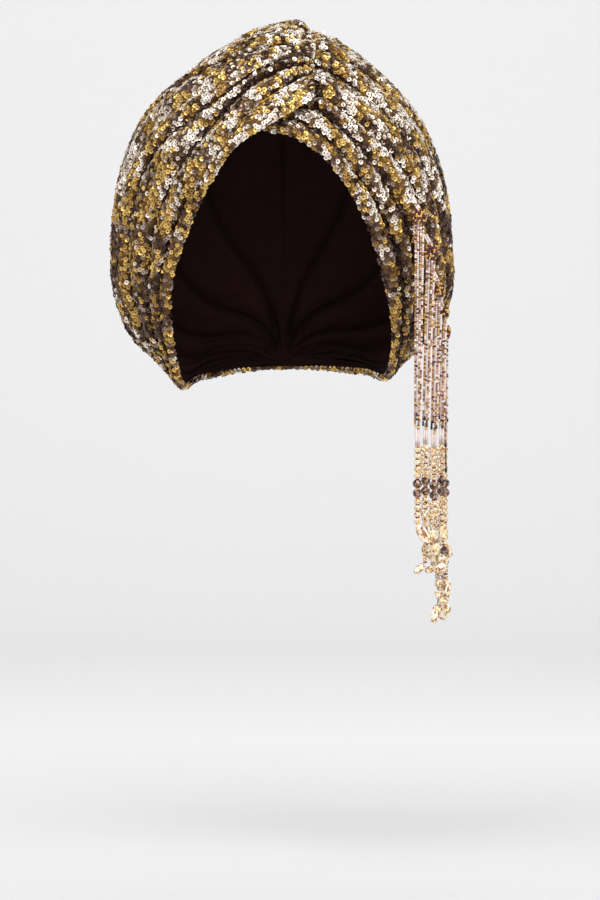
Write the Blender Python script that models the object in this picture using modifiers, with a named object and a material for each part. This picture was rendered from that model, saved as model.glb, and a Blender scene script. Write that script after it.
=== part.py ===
"""A draped turban of sequinned cloth with five beaded tassels, in the shape that a head gives it.

Metres, +Z up, the wearer facing -Y. The origin is the inside of the crown, where it sits on the head.
Two gathered cloths make the turban: the wearer's right one laps over the left one above the brow.
Both run over the head and meet edge to edge along the crown seam and at the nape.
"""

import math
from collections import namedtuple

import bmesh
import bpy
from mathutils import Matrix, Vector

MM = 0.001

# The cloth
WALL = 2.0 * MM
SEAM_GAP = 0.25 * MM
NAPE_GAP = 0.6 * MM
GROOVE_SHARE = 0.40
RIDGE_POWER = 0.55
ROWS_ALONG = 20
NAPE_FADE = 0.14
BAND_STEPS = (0.0, 0.16, 0.5, 0.84)

# The outer body that the folds' ridges reach, as millimetres from its centre at rising slopes
BODY_CENTRE = Vector((0.0, 8.0, -135.0)) * MM
BodyRow = namedtuple("BodyRow", "slope_deg right left front back")
BODY_ROWS = (
    BodyRow(-90, 98, 94, 88, 92),
    BodyRow(-60, 106, 100, 94, 93),
    BodyRow(-45, 105.5, 102, 99, 100),
    BodyRow(-30, 111, 110, 104, 109),
    BodyRow(-15, 110, 111.5, 108, 116),
    BodyRow(0, 108, 108, 113, 118),
    BodyRow(15, 109.5, 108.5, 119, 120),
    BodyRow(30, 114.5, 113, 125, 123),
    BodyRow(45, 121, 120, 129, 127),
    BodyRow(60, 126, 127, 132.5, 131),
    BodyRow(75, 134, 136.5, 138, 136.5),
    BodyRow(82, 139.5, 138.5, 140.5, 139.5),
    BodyRow(90, 143, 143, 143, 143),
)

# How the body is drawn in to the head at the hem
HEM_RAMP = math.radians(45)
RAMP_SHARE = 0.8

# The crown seam, as angles in the side view from straight ahead over the top to the nape
SEAM_NAPE = math.radians(225.6)
SEAM_PACE = 0.8
SEAM_BROW = math.radians(70)
SEAM_SWING = 19.0 * MM
SWING_START, SWING_END = 0.55, 0.88
SEAM_DIP = 3.5 * MM
DIP_START = 0.88

# The lap above the brow
LAP_RISE = 4.5 * MM
LAP_START, LAP_FULL = 0.70, 0.86
LAP_ROLL = 0.84
LAP_DROP = 5.0 * MM
LAP_RUN = 7.0 * MM
LAP_BACK, LAP_FRONT = 6.0 * MM, -40.0 * MM
LAP_AHEAD = 0.15
LAP_CORNER = Vector((18.4, -47.3)) * MM
LAP_CROSSING = Vector((-6.7, -64.6)) * MM

# The hem of each cloth in millimetres, from the nape under the ear and up the face to the lap
HemRow = namedtuple("HemRow", "share x y z")
RIGHT_HEM = (
    HemRow(0.00, -1.8, 76, -206),
    HemRow(0.05, -14, 75, -208),
    HemRow(0.12, -33, 66, -211),
    HemRow(0.22, -54, 38, -216),
    HemRow(0.34, -63.5, -8, -220),
    HemRow(0.42, -69.5, -27, -191),
    HemRow(0.50, -70, -42, -163),
    HemRow(0.60, -63, -58, -135),
    HemRow(0.70, -50, -75, -107),
    HemRow(0.80, -34, -88, -84.5),
    HemRow(0.88, -20.5, -93.5, -73),
    HemRow(0.94, -6.7, -96, -64.6),
    HemRow(1.00, 18.4, -90, -47.3),
)
LEFT_HEM = (
    HemRow(0.00, 1.8, 76, -206),
    HemRow(0.05, 14, 75, -207),
    HemRow(0.12, 33, 66, -209),
    HemRow(0.22, 54, 38, -212),
    HemRow(0.34, 67, -10, -214.5),
    HemRow(0.42, 70.5, -28, -191),
    HemRow(0.50, 67, -42, -163),
    HemRow(0.60, 59, -56, -134),
    HemRow(0.70, 46, -73, -106.5),
    HemRow(0.80, 28, -87, -82.5),
    HemRow(0.88, 11, -91.5, -71),
    HemRow(0.94, -6.7, -92, -64.3),
    HemRow(1.00, -20, -86, -57),
)

# The grooves between folds, as shares of the way from the hem to the crown seam at five places
FoldRow = namedtuple("FoldRow", "nape ear temple brow lap depth_mm")
FOLD_PLACES = (0.0, 0.4, 0.6, 0.8, 1.0)
RIGHT_FOLDS = (
    FoldRow(0.00, 0.000, 0.000, 0.000, 0.00, 2.5),
    FoldRow(0.11, 0.026, 0.045, 0.090, 0.42, 5.0),
    FoldRow(0.22, 0.060, 0.130, 0.290, 0.56, 5.5),
    FoldRow(0.33, 0.104, 0.270, 0.345, 0.64, 3.5),
    FoldRow(0.44, 0.180, 0.365, 0.400, 0.72, 6.0),
    FoldRow(0.55, 0.290, 0.480, 0.540, 0.79, 3.0),
    FoldRow(0.67, 0.430, 0.610, 0.690, 0.85, 3.5),
    FoldRow(0.78, 0.600, 0.740, 0.810, 0.91, 3.5),
    FoldRow(0.89, 0.790, 0.870, 0.915, 0.96, 3.0),
    FoldRow(1.00, 1.000, 1.000, 1.000, 1.00, 0.3),
)
LEFT_FOLDS = (
    FoldRow(0.00, 0.000, 0.000, 0.000, 0.00, 2.5),
    FoldRow(0.11, 0.025, 0.062, 0.085, 0.14, 5.5),
    FoldRow(0.22, 0.056, 0.138, 0.205, 0.30, 6.0),
    FoldRow(0.33, 0.110, 0.220, 0.290, 0.46, 3.5),
    FoldRow(0.44, 0.200, 0.310, 0.480, 0.72, 3.5),
    FoldRow(0.55, 0.320, 0.440, 0.620, 0.82, 2.5),
    FoldRow(0.67, 0.470, 0.590, 0.740, 0.89, 2.5),
    FoldRow(0.78, 0.640, 0.740, 0.850, 0.94, 2.5),
    FoldRow(0.89, 0.820, 0.870, 0.930, 0.97, 2.5),
    FoldRow(1.00, 1.000, 1.000, 1.000, 1.00, 0.3),
)

# The tassels' round heads in millimetres: across, depth below the crown, and the place of the
# column of beads that its strands end in. The depth ahead of the centre follows from the cloth.
TasselRow = namedtuple("TasselRow", "head_x head_z loop_dx loop_dz beads_x beads_z")
TASSEL_ROWS = (
    TasselRow(84.0, -117.5, -7.0, 14.0, 82.8, -257.1),
    TasselRow(91.2, -138.6, -2.0, 11.0, 88.0, -255.8),
    TasselRow(96.4, -161.0, -2.5, 11.0, 93.8, -258.6),
    TasselRow(99.2, -174.3, -2.5, 10.0, 98.9, -256.0),
    TasselRow(100.8, -186.0, -3.0, 11.0, 101.6, -257.2),
)
HEAD_RADIUS = 4.3 * MM
HEAD_HEIGHT = 8.6 * MM
HEAD_SIDES = 12
HEAD_CLEAR = 0.6 * MM
COLUMN_STEPS = 16
FAR_AHEAD = -200 * MM
STRAND_RADIUS = 0.75 * MM
STRAND_SPREAD = 1.9 * MM
STRAND_CLOSE = 0.8 * MM
LONG_BEAD_RADIUS = 1.5 * MM
LONG_BEAD_LENGTH = 12.8 * MM

# The beads below the tassels, as width, length and where on the length they are widest
BEAD_GAP = 0.3 * MM
GOLD_BEAD = (4.0 * MM, 3.9 * MM, (0.5,))
SMOKE_BEAD = (6.0 * MM, 5.6 * MM, (0.3, 0.7))
SMALL_BEAD = (2.8 * MM, 2.6 * MM, (0.5,))
THREAD_RADIUS = 0.45 * MM
BEAD_SIDES = 10
UPPER_GOLD, SMOKE_PAIR = 5, 2

# What hangs below the smoky beads: gold beads, then drops with small beads between them
LEAF_THICK = 0.45
LEAF_TABLE = 0.55
DropRow = namedtuple("DropRow", "string kind count length width lean_deg", defaults=(0, 0, 0))
DROP_ROWS = (
    DropRow(1, "gold", 4),
    DropRow(1, "leaf", 1, 16.0, 7.5, 32),
    DropRow(2, "gold", 5),
    DropRow(2, "leaf", 1, 7.5, 6.5, 15),
    DropRow(2, "leaf", 1, 10.5, 7.0, -12),
    DropRow(2, "small", 1),
    DropRow(2, "leaf", 1, 9.0, 5.0, -50),
    DropRow(3, "gold", 6),
    DropRow(3, "small", 3),
    DropRow(3, "leaf", 1, 11.0, 6.0, 55),
    DropRow(3, "small", 5),
    DropRow(3, "leaf", 1, 7.5, 6.5, -20),
    DropRow(3, "leaf", 1, 13.0, 7.5, -8),
    DropRow(4, "gold", 5),
    DropRow(4, "leaf", 1, 11.5, 6.5, 8),
    DropRow(4, "smoke", 1),
    DropRow(4, "small", 6),
    DropRow(4, "leaf", 1, 13.0, 6.5, 4),
    DropRow(4, "leaf", 1, 9.5, 5.5, -12),
    DropRow(5, "gold", 6),
    DropRow(5, "small", 2),
    DropRow(5, "leaf", 1, 9.0, 6.5, 20),
)


def smooth_step(low, high, value):
    """0 below low, 1 above high, and an even curve between."""
    share = min(max((value - low) / (high - low), 0.0), 1.0)
    return share * share * (3 - 2 * share)


def along_rows(stations, values, station):
    """A smooth curve through values at rising stations, with slopes from the neighbours."""
    last = len(stations) - 1
    i = next((k for k in range(last) if station <= stations[k + 1]), last - 1)

    def slope(k):
        before, after = max(k - 1, 0), min(k + 1, last)
        return (values[after] - values[before]) / (stations[after] - stations[before])

    span = stations[i + 1] - stations[i]
    t = (station - stations[i]) / span
    start, end = values[i], values[i + 1]
    return (
        (2 * t**3 - 3 * t**2 + 1) * start
        + (t**3 - 2 * t**2 + t) * span * slope(i)
        + (3 * t**2 - 2 * t**3) * end
        + (t**3 - t**2) * span * slope(i + 1)
    )


def body_radius(way):
    """How far the outer body reaches from its centre, along a unit direction."""
    slope = math.degrees(math.asin(max(-1.0, min(1.0, way.z))))
    stations = [row.slope_deg for row in BODY_ROWS]
    sides = [row.right if way.x < 0 else row.left for row in BODY_ROWS]
    ends = [row.front if way.y < 0 else row.back for row in BODY_ROWS]
    across, ahead = along_rows(stations, sides, slope), along_rows(stations, ends, slope)
    level = way.x**2 + way.y**2
    if level < 1e-9:
        return across * MM
    return MM * math.sqrt(level / ((way.x / across) ** 2 + (way.y / ahead) ** 2))


def seam_way(share, side):
    """The unit direction of the crown seam, from 0 at the nape to 1 above the brow."""
    angle = SEAM_NAPE + (SEAM_BROW - SEAM_NAPE) * share**SEAM_PACE
    way = Vector((0, -math.cos(angle), math.sin(angle)))
    swing = SEAM_SWING * smooth_step(SWING_START, SWING_END, share)
    gap = SEAM_GAP + NAPE_GAP * (1 - smooth_step(0, NAPE_FADE, share))
    way.x = (swing + side * gap) / body_radius(way)
    return way.normalized()


def hem_offset(rows, share):
    """The hem's place from the body's centre."""
    stations = [row.share for row in rows]
    columns = ([row.x for row in rows], [row.y for row in rows], [row.z for row in rows])
    place = Vector([along_rows(stations, column, share) for column in columns])
    return place * MM - BODY_CENTRE


def lap_sink(place):
    """How far the under cloth drops behind the over cloth at a place above the brow."""
    seen = Vector((place.x, place.z))
    edge = LAP_CORNER - LAP_CROSSING
    over = (seen - LAP_CROSSING).dot(Vector((-edge.y, edge.x)).normalized())
    inside = min(LAP_CORNER.x - seen.x, over)
    ahead = smooth_step(-LAP_BACK, -LAP_FRONT, -place.y)
    return LAP_DROP * ahead * smooth_step(-LAP_RUN, 0, inside)


def cloth_point(rows, folds, side, share, band, t):
    """A point of a cloth's outer face: share runs from the nape to the lap, t across one fold."""
    low, high = (
        along_rows(FOLD_PLACES, fold[:-1], share) for fold in folds[band : band + 2]
    )
    across = low + (high - low) * t
    from_hem, seam = hem_offset(rows, share), seam_way(share, side)
    whole = from_hem.angle(seam)
    way = from_hem.normalized().slerp(seam, across)
    ramp = min(HEM_RAMP, RAMP_SHARE * whole)
    loose = (1 - min(across * whole / ramp, 1)) ** 2 * smooth_step(0, NAPE_FADE, share)
    body = body_radius(way)
    radius = body - (body - from_hem.length) * loose
    width = (high - low) * whole * radius
    deep = folds[band].depth_mm + (folds[band + 1].depth_mm - folds[band].depth_mm) * t
    valley = 1 - math.sin(math.pi * min(max(t, 0), 1)) ** RIDGE_POWER
    gathered = smooth_step(0, NAPE_FADE, share)
    radius -= min(deep * MM, GROOVE_SHARE * width) * valley * gathered
    seam_dip = smooth_step(DIP_START, 1, across) * smooth_step(SWING_START, SWING_END, share)
    radius -= SEAM_DIP * seam_dip
    if side < 0:
        rolled = smooth_step(LAP_ROLL, 1, across) * (1 - smooth_step(0, LAP_AHEAD, -way.y))
        radius += LAP_RISE * smooth_step(LAP_START, LAP_FULL, share) * (1 - rolled)
    else:
        radius -= lap_sink(BODY_CENTRE + way * radius)
    return BODY_CENTRE + way * radius


def material(name, colour, roughness, metallic=0.0):
    """A plain finish for one kind of piece."""
    made = bpy.data.materials.new(name)
    made.use_nodes = True
    shader = made.node_tree.nodes["Principled BSDF"]
    shader.inputs["Base Color"].default_value = (*colour, 1)
    shader.inputs["Roughness"].default_value = roughness
    shader.inputs["Metallic"].default_value = metallic
    made.diffuse_color = (*colour, 1)
    return made


def add(name, mesh, finish, collection):
    """A named object for a mesh, in the turban's collection."""
    made = bpy.data.objects.new(name, mesh)
    mesh.materials.append(finish)
    collection.objects.link(made)
    return made


def cloth(name, rows, folds, side, finish, collection):
    """One gathered cloth: a sheet bent over the body and thickened inwards."""
    bands = len(folds) - 1
    columns = bands * len(BAND_STEPS)
    shape = bmesh.new()
    bmesh.ops.create_grid(
        shape, x_segments=ROWS_ALONG, y_segments=columns, size=0.5
    )
    for vert in shape.verts:
        share = vert.co.x + 0.5
        column = round((vert.co.y + 0.5) * columns)
        band = min(column // len(BAND_STEPS), bands - 1)
        step = column - band * len(BAND_STEPS)
        t = BAND_STEPS[step] if step < len(BAND_STEPS) else 1.0
        vert.co = cloth_point(rows, folds, side, share, band, t)
    shape.normal_update()
    shape.faces.ensure_lookup_table()
    middle = shape.faces[len(shape.faces) // 2]
    if middle.normal.dot(middle.calc_center_median() - BODY_CENTRE) < 0:
        bmesh.ops.reverse_faces(shape, faces=shape.faces)
    mesh = bpy.data.meshes.new(name)
    shape.to_mesh(mesh)
    shape.free()
    mesh.shade_smooth()
    made = add(name, mesh, finish, collection)
    wall = made.modifiers.new("wall", "SOLIDIFY")
    wall.thickness = WALL
    wall.offset = -1
    return made


def turned(name, profile, sides, place, finish, collection):
    """A closed turned piece: the profile runs down its outer side as radius and height."""
    mesh = bpy.data.meshes.new(name)
    corners = [(radius, 0, height) for radius, height in profile]
    mesh.from_pydata(corners, [(i, i + 1) for i in range(len(corners) - 1)], [])
    made = add(name, mesh, finish, collection)
    made.location = place
    spin = made.modifiers.new("turned", "SCREW")
    spin.steps = spin.render_steps = sides
    spin.use_merge_vertices = True
    spin.merge_threshold = 0.00001
    spin.use_smooth_shade = False
    return made


def bead_string(name, count, bead, place, finish, collection):
    """Beads threaded close together below a place, as one turned body."""
    width, length, widest = bead
    profile = [(0, 0)]
    for i in range(count):
        profile.append((THREAD_RADIUS, -i * length))
        profile += [(width / 2, -(i + share) * length) for share in widest]
    bottom = -count * length
    profile += [(THREAD_RADIUS, bottom), (0, bottom)]
    turned(name, profile, BEAD_SIDES, place, finish, collection)
    return place + Vector((0, 0, bottom - BEAD_GAP))


def leaf(name, length, width, lean, place, finish, collection):
    """A cut drop with a pointed oval girdle and a table front and back, hung by its upper tip."""
    shape = bmesh.new()
    bmesh.ops.create_cone(
        shape, cap_ends=True, segments=BEAD_SIDES, radius1=1, radius2=1, depth=2
    )
    girdle = bmesh.ops.bisect_plane(
        shape,
        geom=shape.verts[:] + shape.edges[:] + shape.faces[:],
        plane_co=(0, 0, 0),
        plane_no=(0, 0, 1),
    )
    on_girdle = {item for item in girdle["geom_cut"] if isinstance(item, bmesh.types.BMVert)}
    for vert in shape.verts:
        reach = 1 if vert in on_girdle else LEAF_TABLE
        pointed = math.copysign(abs(vert.co.y) ** 0.8, vert.co.y)
        vert.co.x *= reach * width / 2
        vert.co.y = pointed * reach * length / 2
        vert.co.z *= LEAF_THICK * width
    tip = max(vert.co.y for vert in shape.verts)
    hung = Matrix.Rotation(math.radians(-lean), 4, "Y") @ Matrix.Rotation(math.pi / 2, 4, "X")
    bmesh.ops.transform(shape, matrix=hung @ Matrix.Translation((0, -tip, 0)), verts=shape.verts)
    mesh = bpy.data.meshes.new(name)
    shape.to_mesh(mesh)
    shape.free()
    made = add(name, mesh, finish, collection)
    highest = max(vert.co.z for vert in mesh.vertices)
    made.location = place - Vector((0, 0, highest))
    lowest = min(mesh.vertices, key=lambda vert: vert.co.z).co
    return made.location + Vector((lowest.x, 0, lowest.z - BEAD_GAP))


def strand(name, start, end, radius, guides):
    """A straight strand between two places, to be fused into its tassel."""
    curve = bpy.data.curves.new(name, "CURVE")
    curve.dimensions = "3D"
    curve.bevel_depth = radius
    curve.bevel_resolution = 1
    curve.use_fill_caps = True
    run = curve.splines.new("POLY")
    run.points.add(1)
    run.points[0].co = (*start, 1)
    run.points[1].co = (*end, 1)
    guide = bpy.data.objects.new(name, curve)
    guides.objects.link(guide)
    bpy.context.view_layer.update()
    seen = guide.evaluated_get(bpy.context.evaluated_depsgraph_get())
    mesh = bpy.data.meshes.new_from_object(seen)
    shape = bmesh.new()
    shape.from_mesh(mesh)
    bmesh.ops.remove_doubles(shape, verts=shape.verts, dist=0.00001)
    shape.to_mesh(mesh)
    shape.free()
    bpy.data.objects.remove(guide)
    made = bpy.data.objects.new(name, mesh)
    guides.objects.link(made)
    made.hide_render = True
    made.display_type = "WIRE"
    return made


def front_of_cloth(wrap, x, high, low):
    """How far ahead a cloth reaches in a column as wide as a tassel's head, between two heights."""
    seen = wrap.evaluated_get(bpy.context.evaluated_depsgraph_get())
    ahead = 0.0
    for step in range(COLUMN_STEPS + 1):
        z = high + (low - high) * step / COLUMN_STEPS
        for side in (-1, 0, 1):
            start = Vector((x + side * HEAD_RADIUS, FAR_AHEAD, z))
            found, place = seen.ray_cast(start, Vector((0, 1, 0)))[:2]
            if found:
                ahead = min(ahead, place.y)
    return ahead


def seat_on_cloth(place, wrap):
    """Where a strand's end meets a cloth, nearest to a place in front of it."""
    seen = wrap.evaluated_get(bpy.context.evaluated_depsgraph_get())
    nearest = seen.closest_point_on_mesh(place)[1]
    return nearest + (place - nearest).normalized() * (STRAND_RADIUS + BEAD_GAP)


def tassel(number, row, wrap, finish, collection, cutters):
    """A beaded barrel head on its loop, with three strands that end in one long clear bead."""
    x, z = row.head_x * MM, row.head_z * MM
    ahead = front_of_cloth(wrap, x, z + HEAD_HEIGHT, row.beads_z * MM)
    head = Vector((x, ahead - HEAD_RADIUS - HEAD_CLEAR, z))
    half = HEAD_HEIGHT / 2
    profile = (
        (0, half),
        (0.55 * HEAD_RADIUS, half),
        (HEAD_RADIUS, 0.45 * half),
        (HEAD_RADIUS, -0.45 * half),
        (0.7 * HEAD_RADIUS, -half),
        (0, -half),
    )
    name = f"tassel_{number}"
    made = turned(name, profile, HEAD_SIDES, head, finish, collection)
    guides = bpy.data.collections.new(f"{name}_strands")
    cutters.children.link(guides)
    anchor = seat_on_cloth(head + Vector((row.loop_dx, 0, row.loop_dz)) * MM, wrap)
    strand(f"{name}_loop", anchor, head, STRAND_RADIUS, guides)
    below = Vector((row.beads_x * MM, head.y, row.beads_z * MM))
    top = below + Vector((0, 0, LONG_BEAD_LENGTH))
    for k in (-1, 0, 1):
        aside = Vector((k, -0.5 * (1 - k * k), 0))
        start = head + aside * STRAND_SPREAD
        end = top + aside * STRAND_CLOSE - Vector((0, 0, 2 * STRAND_RADIUS))
        strand(f"{name}_strand_{k + 2}", start, end, STRAND_RADIUS, guides)
    strand(f"{name}_long_bead", top, below, LONG_BEAD_RADIUS, guides)
    fuse = made.modifiers.new("fused", "BOOLEAN")
    fuse.operation = "UNION"
    fuse.operand_type = "COLLECTION"
    fuse.collection = guides
    return below - Vector((0, 0, BEAD_GAP))


def build():
    for old in list(bpy.data.objects):
        bpy.data.objects.remove(old)
    turban = bpy.data.collections.new("turban")
    cutters = bpy.data.collections.new("strands to fuse")
    bpy.context.scene.collection.children.link(turban)
    bpy.context.scene.collection.children.link(cutters)
    sequin_cloth = material("sequin_cloth", (0.42, 0.33, 0.18), 0.35, 0.7)
    seed_beads = material("seed_beads", (0.45, 0.27, 0.16), 0.3)
    gold_glass = material("gold_glass", (0.80, 0.62, 0.30), 0.12)
    smoke_glass = material("smoke_glass", (0.13, 0.10, 0.10), 0.08)
    crystal = material("crystal", (0.93, 0.86, 0.72), 0.05)
    cloth("wrap_right", RIGHT_HEM, RIGHT_FOLDS, -1, sequin_cloth, turban)
    wrap = cloth("wrap_left", LEFT_HEM, LEFT_FOLDS, 1, sequin_cloth, turban)
    beads = {
        "gold": (GOLD_BEAD, gold_glass),
        "smoke": (SMOKE_BEAD, smoke_glass),
        "small": (SMALL_BEAD, gold_glass),
    }
    for number, row in enumerate(TASSEL_ROWS, 1):
        place = tassel(number, row, wrap, seed_beads, turban, cutters)
        place = bead_string(
            f"gold_beads_{number}_upper", UPPER_GOLD, GOLD_BEAD, place, gold_glass, turban
        )
        for k in range(1, SMOKE_PAIR + 1):
            name = f"smoke_bead_{number}_{k}"
            place = bead_string(name, 1, SMOKE_BEAD, place, smoke_glass, turban)
        counts = {}
        for drop in (row for row in DROP_ROWS if row.string == number):
            counts[drop.kind] = counts.get(drop.kind, 0) + 1
            if drop.kind == "leaf":
                name = f"leaf_drop_{number}_{counts['leaf']}"
                size = (drop.length * MM, drop.width * MM, drop.lean_deg)
                place = leaf(name, *size, place, crystal, turban)
            else:
                bead, finish = beads[drop.kind]
                name = f"{drop.kind}_beads_{number}_lower_{counts[drop.kind]}"
                place = bead_string(name, drop.count, bead, place, finish, turban)


build()
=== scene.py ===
"""A draped turban of sequinned cloth with five beaded tassels, dressed for its picture.

Metres, +Z up, the wearer facing -Y. The origin is the inside of the crown.
"""

import math
from collections import namedtuple

import bmesh
import bpy
import numpy as np
from mathutils import Matrix, Vector, noise


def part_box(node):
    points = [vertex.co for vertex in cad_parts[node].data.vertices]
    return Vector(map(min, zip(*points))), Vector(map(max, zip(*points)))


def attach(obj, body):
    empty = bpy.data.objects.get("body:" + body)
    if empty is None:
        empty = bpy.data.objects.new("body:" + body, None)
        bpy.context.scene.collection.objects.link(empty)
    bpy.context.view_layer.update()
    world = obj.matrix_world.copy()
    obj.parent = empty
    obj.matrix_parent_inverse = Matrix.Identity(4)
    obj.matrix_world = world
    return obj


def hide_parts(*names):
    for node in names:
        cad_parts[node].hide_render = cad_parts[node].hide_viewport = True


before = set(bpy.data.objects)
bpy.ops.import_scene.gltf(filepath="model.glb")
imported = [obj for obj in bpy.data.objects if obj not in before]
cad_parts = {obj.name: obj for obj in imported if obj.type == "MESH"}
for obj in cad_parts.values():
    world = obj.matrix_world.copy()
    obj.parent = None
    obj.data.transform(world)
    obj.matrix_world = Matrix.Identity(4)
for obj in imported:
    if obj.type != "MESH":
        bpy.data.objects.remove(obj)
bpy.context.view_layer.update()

# The two wraps
# Each is one long piece of soft dark knit, gathered at the nape and under the ear, drawn over the
# head in folds and stitched along the crown. The wearer's right one laps over the left at the brow.
MM = 0.001
WALL = 1.6 * MM
GROOVE_SHARE = 0.45
RIDGE_POWER = 0.55
ROWS_ALONG = 170
STEPS_ACROSS = 12
NAPE_FADE = 0.14
BODY_CENTRE = Vector((0.0, 8.0, -135.0)) * MM
BodyRow = namedtuple("BodyRow", "slope_deg right left front back")
BODY_ROWS = (
    BodyRow(-90, 98, 94, 88, 92),
    BodyRow(-60, 106, 100, 94, 93),
    BodyRow(-45, 105.5, 102, 99, 100),
    BodyRow(-30, 111, 110, 104, 109),
    BodyRow(-15, 110, 111.5, 108, 116),
    BodyRow(0, 108, 108, 113, 118),
    BodyRow(15, 109.5, 108.5, 119, 120),
    BodyRow(30, 114.5, 113, 125, 123),
    BodyRow(45, 121, 120, 129, 127),
    BodyRow(60, 126, 127, 132.5, 131),
    BodyRow(75, 134, 136.5, 138, 136.5),
    BodyRow(82, 139.5, 138.5, 140.5, 139.5),
    BodyRow(90, 143, 143, 143, 143),
)
STRAIGHT_UP = 1e-9
HEM_RAMP = math.radians(45)
RAMP_SHARE = 0.8
SEAM_NAPE = math.radians(225.6)
SEAM_PACE = 0.8
SEAM_BROW = math.radians(70)
SEAM_SWING = 19.0 * MM
SWING_START, SWING_END = 0.55, 0.88
SEAM_DIP = 3.5 * MM
DIP_START = 0.88
LAP_RISE = 4.5 * MM
LAP_START, LAP_FULL = 0.70, 0.86
LAP_ROLL = 0.84
LAP_DROP = 4.2 * MM
LAP_RUN = 7.0 * MM
LAP_BACK, LAP_FRONT = 6.0 * MM, -40.0 * MM
LAP_AHEAD = 0.15
SETTLE_LOW, SETTLE_HIGH = -44.0 * MM, -26.0 * MM
EDGE_SETTLE, DROP_SETTLE = 0.7, 0.5
BROW_SETTLE = 0.5
END_ROLL = 0.94
END_FADE, END_GONE = 0.5, 0.85
END_SETTLE, END_FLATTEN = 0.6, 0.4
LAP_CORNER = Vector((18.4, -47.3)) * MM
LAP_CROSSING = Vector((-6.7, -64.6)) * MM
HemRow = namedtuple("HemRow", "share x y z")
RIGHT_HEM = (
    HemRow(0.00, 0, 76, -206),
    HemRow(0.05, -14, 75, -208),
    HemRow(0.12, -33, 66, -211),
    HemRow(0.22, -54, 38, -216),
    HemRow(0.34, -63.5, -8, -220),
    HemRow(0.42, -69.5, -27, -191),
    HemRow(0.50, -70, -42, -163),
    HemRow(0.60, -63, -58, -135),
    HemRow(0.70, -50, -75, -107),
    HemRow(0.80, -34, -88, -84.5),
    HemRow(0.88, -20.5, -93.5, -73),
    HemRow(0.94, -6.7, -96, -64.6),
    HemRow(1.00, 18.4, -90, -47.3),
)
LEFT_HEM = (
    HemRow(0.00, 0, 76, -206),
    HemRow(0.05, 14, 75, -207),
    HemRow(0.12, 33, 66, -209),
    HemRow(0.22, 54, 38, -212),
    HemRow(0.34, 67, -10, -214.5),
    HemRow(0.42, 70.5, -28, -191),
    HemRow(0.50, 67, -42, -163),
    HemRow(0.60, 59, -56, -134),
    HemRow(0.70, 46, -73, -106.5),
    HemRow(0.80, 28, -87, -82.5),
    HemRow(0.88, 11, -91.5, -71),
    HemRow(0.94, -6.7, -92, -64.3),
    HemRow(1.00, -20, -86, -57),
)
FoldRow = namedtuple("FoldRow", "nape ear temple brow lap depth_mm")
FOLD_PLACES = (0.0, 0.4, 0.6, 0.8, 1.0)
RIGHT_FOLDS = (
    FoldRow(0.00, 0.000, 0.000, 0.000, 0.00, 2.5),
    FoldRow(0.11, 0.026, 0.045, 0.090, 0.42, 5.0),
    FoldRow(0.22, 0.060, 0.130, 0.290, 0.56, 5.5),
    FoldRow(0.33, 0.104, 0.270, 0.345, 0.64, 3.5),
    FoldRow(0.44, 0.180, 0.365, 0.400, 0.72, 6.0),
    FoldRow(0.55, 0.290, 0.480, 0.540, 0.79, 3.0),
    FoldRow(0.67, 0.430, 0.610, 0.690, 0.85, 3.5),
    FoldRow(0.78, 0.600, 0.740, 0.810, 0.91, 3.5),
    FoldRow(0.89, 0.790, 0.870, 0.915, 0.96, 3.0),
    FoldRow(1.00, 1.000, 1.000, 1.000, 1.00, 0.3),
)
LEFT_FOLDS = (
    FoldRow(0.00, 0.000, 0.000, 0.000, 0.00, 2.5),
    FoldRow(0.11, 0.025, 0.062, 0.085, 0.14, 5.5),
    FoldRow(0.22, 0.056, 0.138, 0.205, 0.30, 6.0),
    FoldRow(0.33, 0.110, 0.220, 0.290, 0.46, 3.5),
    FoldRow(0.44, 0.200, 0.310, 0.480, 0.72, 3.5),
    FoldRow(0.55, 0.320, 0.440, 0.620, 0.82, 2.5),
    FoldRow(0.67, 0.470, 0.590, 0.740, 0.89, 2.5),
    FoldRow(0.78, 0.640, 0.740, 0.850, 0.94, 2.5),
    FoldRow(0.89, 0.820, 0.870, 0.930, 0.97, 2.5),
    FoldRow(1.00, 1.000, 1.000, 1.000, 1.00, 0.3),
)
FOLD_DEEPEN = 1.5
FOLD_SKEW = 0.8
FOLD_UNEVEN = 0.5
DEEP_START, DEEP_FULL = 1.2 * MM, 3.0 * MM
GROOVE_REACH = 4.0 * MM
GROOVES_BREAK = 7.0
CREASE_DEPTH = 1.3 * MM
CREASES_ALONG, CREASES_ACROSS = 3.0, 1.7
CREASE_NARROW = 4.5
CREASES_APART = 7.0
CREASE_FADE = 4.0
UNEVEN_ALONG = 4.0
BREAK_SHARE, BREAK_ROW = 0.3, 3.0
# Painted shade: the knit's colour down in the deep grooves.
KNIT_PAINTED_SHADE = (0.012, 0.003, 0.003, 1)
KNIT_DARK = (0.060, 0.026, 0.010, 1)
KNIT_WORN = (0.20, 0.105, 0.030, 1)
BACK_DARK = (0.016, 0.005, 0.005, 1)
BACK_WORN = (0.034, 0.012, 0.009, 1)
MOTTLE_DETAIL = 4.0
KNIT_PATCHES = 90.0
STITCH_SCALE, STITCH_GAP = 170.0, 0.12
STITCH_RELIEF, STITCH_HEIGHT = 0.6, 0.2 * MM


def smooth_step(low, high, value):
    """0 below low, 1 above high, and an even curve between."""
    share = min(max((value - low) / (high - low), 0.0), 1.0)
    return share * share * (3 - 2 * share)


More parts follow.
